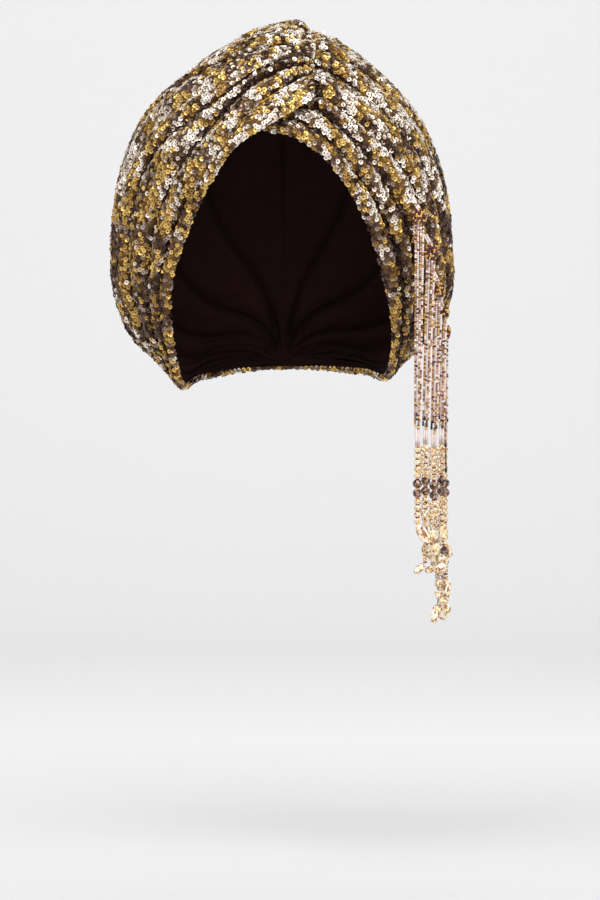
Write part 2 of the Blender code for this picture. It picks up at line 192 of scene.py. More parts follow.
def along_rows(stations, values, station):
    """A smooth curve through values at rising stations, with slopes from the neighbours."""
    last = len(stations) - 1
    i = next((k for k in range(last) if station <= stations[k + 1]), last - 1)

    def slope(k):
        before, after = max(k - 1, 0), min(k + 1, last)
        return (values[after] - values[before]) / (stations[after] - stations[before])

    span = stations[i + 1] - stations[i]
    t = (station - stations[i]) / span
    start, end = values[i], values[i + 1]
    return (
        (2 * t**3 - 3 * t**2 + 1) * start
        + (t**3 - 2 * t**2 + t) * span * slope(i)
        + (3 * t**2 - 2 * t**3) * end
        + (t**3 - t**2) * span * slope(i + 1)
    )


def body_radius(way):
    """How far the outer body reaches from its centre, along a unit direction."""
    slope = math.degrees(math.asin(max(-1.0, min(1.0, way.z))))
    stations = [row.slope_deg for row in BODY_ROWS]
    sides = [row.right if way.x < 0 else row.left for row in BODY_ROWS]
    ends = [row.front if way.y < 0 else row.back for row in BODY_ROWS]
    across, ahead = along_rows(stations, sides, slope), along_rows(stations, ends, slope)
    level = way.x**2 + way.y**2
    if level < STRAIGHT_UP:
        return across * MM
    return MM * math.sqrt(level / ((way.x / across) ** 2 + (way.y / ahead) ** 2))


def seam_way(share):
    """The unit direction of the crown seam, from 0 at the nape to 1 above the brow."""
    angle = SEAM_NAPE + (SEAM_BROW - SEAM_NAPE) * share**SEAM_PACE
    way = Vector((0, -math.cos(angle), math.sin(angle)))
    way.x = SEAM_SWING * smooth_step(SWING_START, SWING_END, share) / body_radius(way)
    return way.normalized()


def hem_offset(rows, share):
    """The hem's place from the body's centre."""
    stations = [row.share for row in rows]
    columns = ([row.x for row in rows], [row.y for row in rows], [row.z for row in rows])
    place = Vector([along_rows(stations, column, share) for column in columns])
    return place * MM - BODY_CENTRE


def settled(height):
    """How far the lap lies down on the under cloth, from 0 at its corner to 1 up on the crown."""
    return smooth_step(SETTLE_LOW, SETTLE_HIGH, height)


def lap_sink(place):
    """How far the under cloth drops behind the over cloth at a place above the brow."""
    seen = Vector((place.x, place.z))
    edge = LAP_CORNER - LAP_CROSSING
    over = (seen - LAP_CROSSING).dot(Vector((-edge.y, edge.x)).normalized())
    inside = min(LAP_CORNER.x - seen.x, over)
    ahead = smooth_step(-LAP_BACK, -LAP_FRONT, -place.y)
    drop = LAP_DROP * (1 - DROP_SETTLE * settled(place.z))
    return drop * ahead * smooth_step(-LAP_RUN, 0, inside)


def cloth_point(rows, folds, side, share, band, t):
    """A point of a cloth's outer face and how deep in a groove it is, from 0 beside it to 1.

    The share runs from the nape to the lap, t across one fold from the hem's side of it.
    """
    low, high = (
        along_rows(FOLD_PLACES, fold[:-1], share) for fold in folds[band : band + 2]
    )
    across = low + (high - low) * t
    from_hem, seam = hem_offset(rows, share), seam_way(share)
    whole = from_hem.angle(seam)
    way = from_hem.normalized().slerp(seam, across)
    ramp = min(HEM_RAMP, RAMP_SHARE * whole)
    gathered = smooth_step(0, NAPE_FADE, share)
    loose = (1 - min(across * whole / ramp, 1)) ** 2 * gathered
    body = body_radius(way)
    radius = body - (body - from_hem.length) * loose
    width = (high - low) * whole * radius
    uneven = 1 + FOLD_UNEVEN * noise.noise(Vector((UNEVEN_ALONG * share, band + t, side)))
    deep = folds[band].depth_mm + (folds[band + 1].depth_mm - folds[band].depth_mm) * t
    end = smooth_step(END_ROLL, 1, share) * (1 - smooth_step(END_FADE, END_GONE, across))
    end *= side < 0
    deep = min(deep * FOLD_DEEPEN * uneven * MM * (1 - END_FLATTEN * end), GROOVE_SHARE * width)
    valley = 1 - math.sin(math.pi * min(max(t, 0), 1) ** FOLD_SKEW) ** RIDGE_POWER
    radius -= deep * valley * gathered
    seam_dip = smooth_step(DIP_START, 1, across) * smooth_step(SWING_START, SWING_END, share)
    radius -= SEAM_DIP * seam_dip
    if side < 0:
        down = max(EDGE_SETTLE * settled(BODY_CENTRE.z + way.z * radius), BROW_SETTLE)
        down = max(down, 1 - smooth_step(0, LAP_AHEAD, -way.y))
        rise = (1 - down * smooth_step(LAP_ROLL, 1, across)) * (1 - END_SETTLE * end)
        radius += LAP_RISE * smooth_step(LAP_START, LAP_FULL, share) * rise
    else:
        radius -= lap_sink(BODY_CENTRE + way * radius)
    spot = (share * CREASES_ALONG, (band + t) * CREASES_ACROSS, side * CREASES_APART)
    small = noise.noise(Vector(spot))
    calm = max(min(CREASE_FADE * min(across, 1 - across), 1), 0) * gathered
    radius -= CREASE_DEPTH * max(1 - CREASE_NARROW * abs(small), 0) * calm
    inner = [t] * (band > 0) + [1 - t] * (band < len(folds) - 2)
    sunk = max(1 - min(inner) * width / GROOVE_REACH, 0)
    sunk *= smooth_step(DEEP_START, DEEP_FULL, deep)
    broken = noise.noise(Vector((GROOVES_BREAK * share, 2 * band + side, BREAK_ROW)))
    sunk *= 1 - BREAK_SHARE * max(broken, 0)
    return BODY_CENTRE + way * radius, sunk


def new_node(tree, kind, values=None, **settings):
    """A node placed in a tree, with its settings and the values of its sockets."""
    made = tree.nodes.new(f"ShaderNode{kind}")
    for label, value in settings.items():
        setattr(made, label, value)
    for label, value in (values or {}).items():
        made.inputs[label].default_value = value
    return made


def join(tree, start, out, end, into):
    """A link between two nodes of a tree, from one's socket into the other's."""
    tree.links.new(start.outputs[out], end.inputs[into])


def new_material(name, values):
    """A material with some of its shader's values, and its tree as a place for more nodes."""
    made = bpy.data.materials.new(name)
    made.use_nodes = True
    shader = made.node_tree.nodes["Principled BSDF"]
    for label, value in values.items():
        shader.inputs[label].default_value = value
    return made, made.node_tree, shader


def new_group(name, inputs, outputs):
    """A node group with named sockets, and its nodes for what comes in and what goes out."""
    tree = bpy.data.node_groups.new(name, "ShaderNodeTree")
    for way, sockets in (("INPUT", inputs), ("OUTPUT", outputs)):
        for label, kind in sockets.items():
            tree.interface.new_socket(label, in_out=way, socket_type=f"NodeSocket{kind}")
    return tree, tree.nodes.new("NodeGroupInput"), tree.nodes.new("NodeGroupOutput")


def mottle_group():
    """Two tones of one colour in small soft patches that stay put on a piece."""
    tree, given, result = new_group(
        "mottle", {"Scale": "Float", "Dark": "Color", "Light": "Color"}, {"Color": "Color"}
    )
    place = new_node(tree, "TexCoord")
    patches = new_node(tree, "TexNoise", {"Detail": MOTTLE_DETAIL})
    tint = new_node(tree, "Mix", data_type="RGBA")
    join(tree, place, "Object", patches, "Vector")
    join(tree, given, "Scale", patches, "Scale")
    join(tree, given, "Dark", tint, "A")
    join(tree, given, "Light", tint, "B")
    join(tree, patches, "Fac", tint, "Factor")
    join(tree, tint, "Result", result, "Color")
    return tree


def mottled(tree, scale, dark, light):
    """The mottle group placed in a material with its own size of patch and tones."""
    values = {"Scale": scale, "Dark": dark, "Light": light}
    return new_node(tree, "Group", values, node_tree=mottle)


def mottled_material(name, values, scale, dark, light):
    """A plain material in two tones of one colour."""
    made, tree, shader = new_material(name, values)
    join(tree, mottled(tree, scale, dark, light), "Color", shader, "Base Color")
    return made


def knit_material(name, dark, worn):
    """Fine brown knit: ribs of stitches that follow the cloth, with painted shade down in the
    grooves.
    """
    made, tree, shader = new_material(name, {"Roughness": 0.85, "Specular IOR Level": 0.15})
    uv = new_node(tree, "UVMap")
    stitches = new_node(tree, "TexBrick", {"Scale": STITCH_SCALE, "Mortar Size": STITCH_GAP})
    join(tree, uv, "UV", stitches, "Vector")
    patches = mottled(tree, KNIT_PATCHES, dark, worn)
    flat = new_node(tree, "Attribute", attribute_name="flat_place")
    apart = new_node(tree, "SeparateXYZ")
    join(tree, flat, "Vector", apart, "Vector")
    # Painted shade: the deeper in a groove, the nearer the knit comes to near black.
    shade = new_node(tree, "Mix", {"B": KNIT_PAINTED_SHADE}, data_type="RGBA")
    join(tree, apart, "Z", shade, "Factor")
    join(tree, patches, "Color", shade, "A")
    join(tree, shade, "Result", shader, "Base Color")
    bump = new_node(tree, "Bump", {"Strength": STITCH_RELIEF, "Distance": STITCH_HEIGHT})
    join(tree, stitches, "Fac", bump, "Height")
    join(tree, bump, "Normal", shader, "Normal")
    return made


def keep(name, shape, material, smooth=False):
    """Turns a finished bmesh into a piece of the turban that rides on its one body."""
    mesh = bpy.data.meshes.new(name)
    shape.to_mesh(mesh)
    shape.free()
    if smooth:
        mesh.shade_smooth()
    mesh.materials.append(material)
    made = bpy.data.objects.new(name, mesh)
    bpy.context.scene.collection.objects.link(made)
    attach(made, "root")
    return made


def gathered_cloth(name, rows, folds, side):
    """One wrap: a fine grid bent over the body, with its own small creases along the folds."""
    bands = len(folds) - 1
    columns = bands * STEPS_ACROSS
    shape = bmesh.new()
    shape.loops.layers.uv.new("UVMap")
    bmesh.ops.create_grid(
        shape, x_segments=ROWS_ALONG, y_segments=columns, size=0.5, calc_uvs=True
    )
    flat_place = shape.verts.layers.float_vector.new("flat_place")
    for vert in shape.verts:
        share = vert.co.x + 0.5
        column = round((vert.co.y + 0.5) * columns)
        band = min(column // STEPS_ACROSS, bands - 1)
        t = (column - band * STEPS_ACROSS) / STEPS_ACROSS
        vert.co, sunk = cloth_point(rows, folds, side, share, band, t)
        vert[flat_place] = (share, column / columns, sunk)
    shape.normal_update()
    shape.faces.ensure_lookup_table()
    middle = shape.faces[len(shape.faces) // 2]
    if middle.normal.dot(middle.calc_center_median() - BODY_CENTRE) < 0:
        bmesh.ops.reverse_faces(shape, faces=shape.faces)
    made = keep(name, shape, knit_face, smooth=True)
    made.data.materials.append(knit_back)
    wall = made.modifiers.new("wall", "SOLIDIFY")
    wall.thickness = WALL
    wall.offset = -1
    wall.material_offset = 1
    return made


mottle = mottle_group()
knit_face = knit_material("knit face", KNIT_DARK, KNIT_WORN)
knit_back = knit_material("knit back", BACK_DARK, BACK_WORN)
right_cloth = gathered_cloth("right_cloth", RIGHT_HEM, RIGHT_FOLDS, -1)
left_cloth = gathered_cloth("left_cloth", LEFT_HEM, LEFT_FOLDS, 1)
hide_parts("wrap_right")
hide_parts("wrap_left")

# The sequins
# Little metallised film rings, 3 mm across with a small hole, stitched to the knit close enough
# to overlap. They come in gold, gunmetal, silver and lilac grey, in patches like a cat's coat.
RIGHT_SEED, LEFT_SEED = 11, 12
RING_SIDES = 8
RING_OUTER, RING_HOLE = 1.5 * MM, 0.5 * MM
RING_CUP = 0.28 * MM
RING_SPACING = 1.8 * MM
RING_TRIES = 4.5
RING_LIFT, LEAST_LIFT = 0.4 * MM, 0.7
RING_LEAN = 0.20
LOOSE_SHARE, LOOSE_EXTRA = 0.15, 2.0
EDGE_SPACING = 2.0 * MM
EDGE_SINK = WALL / 3
SEAM_SIDE = 0.999
# Rings are left off past the first groove depth; past the second they are all dark gunmetal, as
# painted shade.
BARE_GROOVE, PAINTED_SHADE_DEPTH = 0.88, 0.70
BARE_UNEVEN = 0.06
GROOVE_SHADE = 0.9
CLOTH_LENGTH, CLOTH_WIDTH = 0.31, 0.25
PATCH_SIZE = 8.5 * MM
PATCH_MIX = 0.62
SILVER_STRETCH, SCATTERED = 0.82, 0.97
# Painted light: from these heights up the rings turn paler, a little more so towards the wearer's
# left.
PAINTED_LIGHT_LOW, PAINTED_LIGHT_HIGH = -130 * MM, -85 * MM
PAINTED_LIGHT_LEAN = 0.6
SILVER_ABOVE, SILVER_EASED = 0.60, 0.54
GOLD_ABOVE, GOLD_EASED = 0.06, 0.22
LILAC_ABOVE, LILAC_EASED = -0.07, 0.18
SILVER_MIX = 0.7
SILVER_SHIFT = Vector((31, 17, 5))
SIDES_APART = 0.1
GLOSS_SCALE, GLOSS_SPREAD = 900.0, 0.2
SequinRow = namedtuple("SequinRow", "kind dark light smoothest metal")
SEQUIN_ROWS = (
    SequinRow("gunmetal", (0.012, 0.006, 0.005, 1), (0.19, 0.115, 0.090, 1), 0.06, 0.9),
    SequinRow("gold", (0.26, 0.13, 0.022, 1), (0.86, 0.57, 0.17, 1), 0.20, 0.65),
    SequinRow("silver", (0.68, 0.58, 0.48, 1), (0.95, 0.87, 0.77, 1), 0.22, 0.65),
    SequinRow("lilac", (0.17, 0.12, 0.095, 1), (0.52, 0.41, 0.34, 1), 0.22, 0.65),
)


def ring_shape():
    """One cupped ring, lying flat and facing up."""
    shape = bmesh.new()
    bmesh.ops.create_circle(shape, segments=RING_SIDES, radius=RING_OUTER)
    rim = bmesh.ops.extrude_edge_only(shape, edges=shape.edges[:])
    inner = [item for item in rim["geom"] if isinstance(item, bmesh.types.BMVert)]
    for vert in inner:
        vert.co *= RING_HOLE / RING_OUTER
        vert.co.z = -RING_CUP
    shape.normal_update()
    if sum(face.normal.z for face in shape.faces) < 0:
        bmesh.ops.reverse_faces(shape, faces=shape.faces)
    return shape


def as_arrays(shape):
    """A small shape's corners and faces, for setting out many of it at once."""
    shape.verts.index_update()
    corners = np.array([vert.co[:] for vert in shape.verts])
    faces = [[vert.index for vert in face.verts] for face in shape.faces]
    shape.free()
    return corners, faces


def set_out(name, pattern, places, turns, tones, material):
    """Copies of one small shape joined in one mesh, each at its place and turn with its tone."""
    corners, faces = pattern
    count = len(corners)
    points = np.einsum("nij,kj->nki", turns, corners) + places[:, None, :]
    joined = [
        [index + copy * count for index in face]
        for copy in range(len(places))
        for face in faces
    ]
    mesh = bpy.data.meshes.new(name)
    mesh.from_pydata(points.reshape(-1, 3).tolist(), [], joined)
    tone = mesh.attributes.new("tone", "FLOAT", "POINT")
    tone.data.foreach_set("value", np.repeat(tones, count).astype(np.float32))
    mesh.materials.append(material)
    made = bpy.data.objects.new(name, mesh)
    bpy.context.scene.collection.objects.link(made)
    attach(made, "root")
    return made


def vectors_of(items, name):
    """One vector property of many mesh items, as the rows of an array."""
    values = np.empty(len(items) * 3)
    items.foreach_get(name, values)
    return values.reshape(-1, 3)


def spread_out(places, spacing):
    """The numbers of the places that lie no closer than spacing to an earlier one."""
    near = [(i, j, k) for i in (-1, 0, 1) for j in (-1, 0, 1) for k in (-1, 0, 1)]
    cells, kept = {}, []
    limit = spacing**2
    for index, (x, y, z) in enumerate(places.tolist()):
        i, j, k = int(x // spacing), int(y // spacing), int(z // spacing)
        around = (cells.get((i + di, j + dj, k + dk), ()) for di, dj, dk in near)
        if all(
            (x - a) ** 2 + (y - b) ** 2 + (z - c) ** 2 >= limit
            for cell in around
            for a, b, c in cell
        ):
            cells.setdefault((i, j, k), []).append((x, y, z))
            kept.append(index)
    return kept


def face_places(mesh, draw):
    """Places over a cloth's face, with their smooth normals and their places on the flat cloth."""
    mesh.calc_loop_triangles()
    corners = vectors_of(mesh.vertices, "co")
    normals = vectors_of(mesh.vertices, "normal")
    flats = vectors_of(mesh.attributes["flat_place"].data, "vector")
    triangles = np.array([tri.vertices[:] for tri in mesh.loop_triangles])
    edges = corners[triangles[:, 1:]] - corners[triangles[:, :1]]
    areas = np.linalg.norm(np.cross(edges[:, 0], edges[:, 1]), axis=1) / 2
    wanted = int(RING_TRIES * areas.sum() / RING_SPACING**2)
    chosen = triangles[draw.choice(len(triangles), wanted, p=areas / areas.sum())]
    shares = draw.random((wanted, 2))
    shares[shares.sum(1) > 1] = 1 - shares[shares.sum(1) > 1]
    weights = np.column_stack([1 - shares.sum(1), shares])
    places, facing, flat = (
        np.einsum("nk,nki->ni", weights, values[chosen]) for values in (corners, normals, flats)
    )
    kept = spread_out(places, RING_SPACING)
    places, facing, flat = places[kept], facing[kept], flat[kept]
    sewn = flat[:, 2] < BARE_GROOVE + draw.normal(0, BARE_UNEVEN, len(flat))
    return places[sewn], facing[sewn], flat[sewn]


def edge_places(mesh):
    """Places along a cloth's turned edges, facing half outward and half ahead of the edge."""
    shape = bmesh.new()
    shape.from_mesh(mesh)
    flat_place = shape.verts.layers.float_vector["flat_place"]
    places, facing, flat = [], [], []
    for edge in (edge for edge in shape.edges if edge.is_boundary):
        middle = (edge.verts[0].co + edge.verts[1].co) / 2
        out = edge.verts[0].normal + edge.verts[1].normal
        along = (edge.verts[1].co - edge.verts[0].co).normalized()
        ahead = middle - edge.link_faces[0].calc_center_median()
        ahead -= ahead.dot(along) * along
        flat.append((edge.verts[0][flat_place] + edge.verts[1][flat_place]) / 2)
        sink = 0 if flat[-1].y > SEAM_SIDE else EDGE_SINK
        places.append(middle - out.normalized() * sink)
        facing.append(out.normalized() + ahead.normalized())
    shape.free()
    kept = spread_out(np.array(places), EDGE_SPACING)
    return np.array(places)[kept], np.array(facing)[kept], np.array(flat)[kept]


def turns_for(facing, lean, draw):
    """Turns that lay a shape on its normal, leaned a little at random and spun about itself."""
    facing = facing / np.linalg.norm(facing, axis=1, keepdims=True)
    loose = 1 + LOOSE_EXTRA * (draw.random((len(facing), 1)) < LOOSE_SHARE)
    facing = facing + draw.normal(0, lean, facing.shape) * loose
    facing /= np.linalg.norm(facing, axis=1, keepdims=True)
    aside = draw.normal(0, 1, facing.shape)
    aside -= (aside * facing).sum(1, keepdims=True) * facing
    aside /= np.linalg.norm(aside, axis=1, keepdims=True)
    return np.stack([aside, np.cross(facing, aside), facing], axis=2)


def ring_film_group():
    """Metallised film: each ring's tone between two, partly its own and partly painted shade in the
    grooves, and an uneven gloss.
    """
    tree, given, result = new_group(
        "ring film",
        {"Tone": "Float", "Dark": "Color", "Light": "Color", "Smoothest": "Float"},
        {"Color": "Color", "Roughness": "Float"},
    )
    tint = new_node(tree, "Mix", data_type="RGBA")
    join(tree, given, "Tone", tint, "Factor")
    join(tree, given, "Dark", tint, "A")
    join(tree, given, "Light", tint, "B")
    join(tree, tint, "Result", result, "Color")
    place = new_node(tree, "TexCoord")
    uneven = new_node(tree, "TexNoise", {"Scale": GLOSS_SCALE})
    join(tree, place, "Object", uneven, "Vector")
    gloss = new_node(tree, "Math", {1: GLOSS_SPREAD}, operation="MULTIPLY_ADD")
    join(tree, uneven, "Fac", gloss, 0)
    join(tree, given, "Smoothest", gloss, 2)
    join(tree, gloss, "Value", result, "Roughness")
    return tree


def sequin_material(row):
    """The film of one colour of sequin, with the tone that each ring was given."""
    made, tree, shader = new_material(f"{row.kind} sequin film", {"Metallic": row.metal})
    tone = new_node(tree, "Attribute", attribute_name="tone")
    values = {"Dark": row.dark, "Light": row.light, "Smoothest": row.smoothest}
    film = new_node(tree, "Group", values, node_tree=ring_film)
    join(tree, tone, "Fac", film, "Tone")
    join(tree, film, "Color", shader, "Base Color")
    join(tree, film, "Roughness", shader, "Roughness")
    return made


def patch_kind(place, flat, side, chance):
    """Which colour of sequin a place has: patches a little mixed, paler up on the crown and a
    little towards the wearer's left as painted light, and dark gunmetal in the deepest grooves as
    painted shade.
    """
    # Painted shade: rings down in the deepest grooves are all dark gunmetal.
    if flat[2] > PAINTED_SHADE_DEPTH:
        return "gunmetal"
    spot = Vector((flat[0] * CLOTH_LENGTH, flat[1] * CLOTH_WIDTH, side * SIDES_APART)) / PATCH_SIZE
    mixed = PATCH_MIX * (chance - 0.5)
    # Painted light: more silver, gold and lilac and less gunmetal up on the crown, where the light
    # falls.
    painted_light = smooth_step(PAINTED_LIGHT_LOW, PAINTED_LIGHT_HIGH, place[2]) * (1 + PAINTED_LIGHT_LEAN * place[0])
    pale = noise.noise(spot * SILVER_STRETCH + SILVER_SHIFT) + mixed * SILVER_MIX
    if pale > SILVER_ABOVE - SILVER_EASED * painted_light or chance > SCATTERED:
        return "silver"
    first = noise.noise(spot) + mixed
    if first > GOLD_ABOVE - GOLD_EASED * painted_light:
        return "gold"
    if first > LILAC_ABOVE - LILAC_EASED * painted_light:
        return "lilac"
    return "gunmetal"


def sew_sequins(cloth, side, name, draw):
    """All the sequins of one wrap, a piece for each colour."""
    spread = zip(face_places(cloth.data, draw), edge_places(cloth.data))
    places, facing, flats = (np.concatenate(pair) for pair in spread)
    turns = turns_for(facing, RING_LEAN, draw)
    lift = RING_LIFT * (LEAST_LIFT + draw.random(len(places)))
    places = places + turns[:, :, 2] * lift[:, None]
    chances = draw.random(len(places))
    rows = zip(places.tolist(), flats.tolist(), chances.tolist())
    kinds = np.array([patch_kind(place, flat, side, chance) for place, flat, chance in rows])
    # Painted shade: rings down in the grooves are given darker tones.
    tones = draw.random(len(places)) * (1 - GROOVE_SHADE * flats[:, 2])
    pattern = as_arrays(ring_shape())
    made = []
    for row in SEQUIN_ROWS:
        own = kinds == row.kind
        own_name = f"{row.kind}_sequins_{name}"
        film = sequin_films[row.kind]
        piece = set_out(own_name, pattern, places[own], turns[own], tones[own], film)
        made.append(piece)
    return made


ring_film = ring_film_group()
sequin_films = {row.kind: sequin_material(row) for row in SEQUIN_ROWS}
right_sequins = sew_sequins(right_cloth, -1, "right", np.random.default_rng(RIGHT_SEED))
left_sequins = sew_sequins(left_cloth, 1, "left", np.random.default_rng(LEFT_SEED))

# The tassels
# Five barrel heads worked over with gold and garnet seed beads, each hung from a looped string that
# is sewn to the left wrap. Strands of seed beads fall from them and end in long clear beads.
TasselRow = namedtuple("TasselRow", "head_x head_z")
TASSEL_ROWS = (
    TasselRow(84.0, -117.5),
    TasselRow(91.2, -138.6),
    TasselRow(96.4, -161.0),
    TasselRow(99.2, -174.3),
    TasselRow(100.8, -186.0),
)
HEAD_RADIUS, HEAD_HEIGHT = 4.1 * MM, 8.6 * MM
HEAD_ROWS = 7
HEAD_AHEAD = 1.8 * MM
HEAD_BULGE = 0.8
HEAD_SEED_SCALE = 0.95
CORE_SHARE = 0.92
FOOT_BAND = 0.1 * MM
SEED_RADIUS, SEED_LENGTH = 0.74 * MM, 1.2 * MM
SEED_HOLE = 0.28 * MM
SEED_SIDES = 7
SHOULDER_WIDTH, SHOULDER_HEIGHT = 0.85, 0.8
MERGE_WITHIN = 0.001 * MM
HEAD_PITCH = 1.05 * SEED_LENGTH
END_BEAD_SCALE = 1.15
DARK_END, DARK_SHARE = 5, 0.06
StrandRow = namedtuple("StrandRow", "aside ahead clear lift_mm")
STRAND_ROWS = (
    StrandRow(-1.0, -0.3, 0.10, -1.5),
    StrandRow(-0.35, 0.5, 0.80, 1.5),
    StrandRow(0.35, -0.7, 0.10, -4.0),
    StrandRow(1.0, 0.2, 0.60, 0.5),
)
STRAND_SPREAD, STRAND_CLOSE = 2.3 * MM, 1.5 * MM
LIFT_SPREAD_MM = 1.5
PAIR_HALF = 0.8 * MM
LONG_BEAD_RADIUS, LONG_BEAD_LENGTH = 0.85 * MM, 12.8 * MM
LONG_BEAD_SIDES = 12
LONG_BEAD_TONES = ((0.35, (0.84, 0.66, 0.61, 1)), (0.6, (1.0, 0.92, 0.88, 1)))
THREAD_RADIUS, THREAD_SIDES = 0.18 * MM, 6
THREAD_DARK, THREAD_LIGHT = (0.05, 0.015, 0.012, 1), (0.16, 0.06, 0.04, 1)
THREAD_TWIST = 1500.0
STRAY_DROP, STRAY_SHIFT, STRAY_AHEAD = 30 * MM, 0.6 * MM, 2.2 * MM
STRAY_DARK = 0.6
TASSEL_SEED = 20
GLASS_IOR = 1.5
BEADS_APART = 90.0
GLINT_SCALE, GLINT_DETAIL = 2.4, 1.0
SEED_COLOURS = (
    (0.00, (0.025, 0.012, 0.012, 1)),
    (0.14, (0.12, 0.016, 0.020, 1)),
    (0.32, (0.27, 0.14, 0.055, 1)),
    (0.52, (0.50, 0.28, 0.22, 1)),
    (0.70, (0.66, 0.41, 0.11, 1)),
    (0.86, (0.82, 0.72, 0.67, 1)),
)
DARK, GARNET, BRONZE, ROSE, GOLD, CLEAR = 0.07, 0.23, 0.42, 0.61, 0.78, 0.93
HEAD_TONES, HEAD_SHARES = (GOLD, GARNET, DARK), (0.45, 0.33, 0.22)
LOOP_TONES, LOOP_SHARES = (CLEAR, ROSE, BRONZE), (0.7, 0.2, 0.1)
ODD_TONES, EVEN_TONES = (GARNET, BRONZE, BRONZE, ROSE), (BRONZE, ROSE, ROSE, GOLD)


def barrel_shape(radius, length, hole, sides):
    """A short round bead along Z, with flat ends."""
    shape = bmesh.new()
    half = length / 2
    outline = ((hole, half), (SHOULDER_WIDTH * radius, SHOULDER_HEIGHT * half), (radius, 0.0))
    lower = [(reach, -height) for reach, height in reversed(outline[:2])]
    corners = [shape.verts.new((reach, 0, height)) for reach, height in (*outline, *lower)]
    edges = [shape.edges.new(pair) for pair in zip(corners, corners[1:])]
    bmesh.ops.spin(
        shape,
        geom=corners + edges,
        axis=(0, 0, 1),
        cent=(0, 0, 0),
        angle=2 * math.pi,
        steps=sides,
        use_merge=True,
    )
    bmesh.ops.remove_doubles(shape, verts=shape.verts, dist=MERGE_WITHIN)
    bmesh.ops.holes_fill(shape, edges=[edge for edge in shape.edges if edge.is_boundary])
    bmesh.ops.recalc_face_normals(shape, faces=shape.faces)
    return shape


def tone_ramp(tree, tones, way="LINEAR"):
    """A ramp of colours, each with its place on the ramp."""
    ramp = new_node(tree, "ValToRGB")
    ramp.color_ramp.interpolation = way
    stops = ramp.color_ramp.elements
    stops[0].position, stops[0].color = tones[0]
    stops[1].position, stops[1].color = tones[-1]
    for position, colour in tones[1:-1]:
        stops.new(position).color = colour
    return ramp


def seed_material():
    """Lined glass seed beads in dark, garnet, bronze, rose, gold and clear, by each bead's tone."""
    made, tree, shader = new_material("lined seed bead glass", {"Roughness": 0.15})
    tone = new_node(tree, "Attribute", attribute_name="tone")
    ramp = tone_ramp(tree, SEED_COLOURS, "CONSTANT")
    join(tree, tone, "Fac", ramp, "Fac")
    join(tree, ramp, "Color", shader, "Base Color")
    return made


def facets_group():
    """A number of its own for each facet of each bead, from the way it faces and where it is."""
    tree, given, result = new_group("facets", {"Apart": "Float"}, {"Fac": "Float"})
    facing = new_node(tree, "NewGeometry")
    place = new_node(tree, "TexCoord")
    spread = new_node(tree, "VectorMath", operation="MULTIPLY_ADD")
    glints = new_node(tree, "TexNoise", {"Scale": GLINT_SCALE, "Detail": GLINT_DETAIL})
    join(tree, place, "Object", spread, 0)
    join(tree, given, "Apart", spread, 1)
    join(tree, facing, "True Normal", spread, 2)
    join(tree, spread, "Vector", glints, "Vector")
    join(tree, glints, "Fac", result, "Fac")
    return tree


def glass_material(name, tones, roughness, transmission):
    """Cut glass: each facet shows one of its tones, partly the glass's own colour and partly
    painted reflections and highlights of what it would throw back.
    """
    values = {"Transmission Weight": transmission, "Roughness": roughness, "IOR": GLASS_IOR}
    made, tree, shader = new_material(name, values)
    cut = new_node(tree, "Group", {"Apart": BEADS_APART}, node_tree=facets)
    ramp = tone_ramp(tree, tones)
    join(tree, cut, "Fac", ramp, "Fac")
    join(tree, ramp, "Color", shader, "Base Color")
    return made


def turn_to(way):
    """A turn that stands a Z-long shape along a way."""
    return np.array(Vector((0, 0, 1)).rotation_difference(Vector(way)).to_matrix())


def rod(shape, start, end, radius, sides):
    """A closed round rod between two places, added to a shape."""
    way = end - start
    turn = Vector((0, 0, 1)).rotation_difference(way)
    bmesh.ops.create_cone(
        shape,
        cap_ends=True,
        segments=sides,
        radius1=radius,
        radius2=radius,
        depth=way.length,
        matrix=Matrix.LocRotScale((start + end) / 2, turn, None),
    )


def add_thread(shape, start, end):
    """A thread drawn straight between two places, added to a shape."""
    rod(shape, start, end, THREAD_RADIUS, THREAD_SIDES)


def beads_along(start, end, pitch):
    """Places and ways of beads threaded close together on a straight run."""
    way = (end - start).normalized()
    count = max(int((end - start).length / pitch), 1)
    return [(start + way * pitch * (k + 0.5), way) for k in range(count)]


def strand_beads(start, end, clear, dark, draw):
    """Seed beads of one strand, its last few darker and the very last a little larger."""
    beads = []
    start = start.lerp(end, draw.random() * SEED_LENGTH / (end - start).length)
    spots = beads_along(start, end, SEED_LENGTH)
    for k, (spot, way) in enumerate(spots):
        tone = draw.choice(ODD_TONES if k % 2 else EVEN_TONES)
        chance = draw.random()
        if chance < clear:
            tone = CLEAR
        elif chance > 1 - dark or k > len(spots) - DARK_END:
            tone = draw.choice((DARK, BRONZE))
        beads.append((spot, turn_to(way), tone))
    spot, turn, _ = beads[-1]
    beads.append((spot, turn * END_BEAD_SCALE, draw.choice((DARK, GOLD))))
    return beads


def head_beads(head, draw):
    """Seed beads in rows round a tassel's barrel head."""
    beads = []
    for k in range(HEAD_ROWS):
        height = HEAD_HEIGHT / 2 * (1 - 2 * (k + 0.5) / HEAD_ROWS)
        reach = HEAD_RADIUS * math.sqrt(1 - (HEAD_BULGE * 2 * height / HEAD_HEIGHT) ** 2)
        around = int(2 * math.pi * reach / HEAD_PITCH)
        for i in range(around):
            angle = 2 * math.pi * (i + 0.5 * (k % 2)) / around
            out = Vector((math.cos(angle), math.sin(angle), 0))
            tone = draw.choice(HEAD_TONES, p=HEAD_SHARES)
            spot = head + out * reach + Vector((0, 0, height))
            turn = turn_to(Vector((0, 0, 1)).cross(out)) * HEAD_SEED_SCALE
            beads.append((spot, turn, tone))
    return beads


